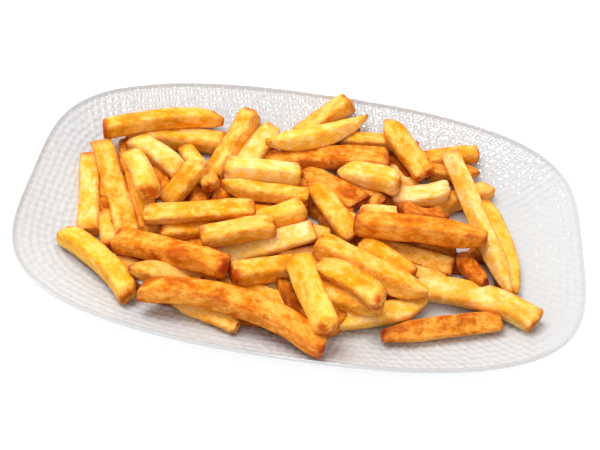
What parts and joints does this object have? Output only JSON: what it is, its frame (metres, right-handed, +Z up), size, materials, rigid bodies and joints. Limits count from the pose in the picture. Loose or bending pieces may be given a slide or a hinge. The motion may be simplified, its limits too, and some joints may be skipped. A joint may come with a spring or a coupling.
{
  "type": "french fries portion",
  "caption": "Loose heap of golden straight-cut fries on a shallow oblong white porcelain platter with a dimpled, upturned rim.",
  "frame": {"origin": "middle of the platter's outline, on the surface that the foot ring stands on", "axes": "+X along the platter's long side, +Y along its short side, away from the side it is served from, +Z up"},
  "size_m": [0.3, 0.174, 0.0379],
  "materials": {
    "glazed_porcelain": "clear glossy glaze over white porcelain, with pressed dimples on the inside",
    "fried_potato": "deep-fried potato, thin crisp crust with an oily satin sheen, pale to brown"
  },
  "bodies": {
    "root": {"platter": "glazed_porcelain", "fries_heap": "fried_potato"}
  },
  "joints": []
}
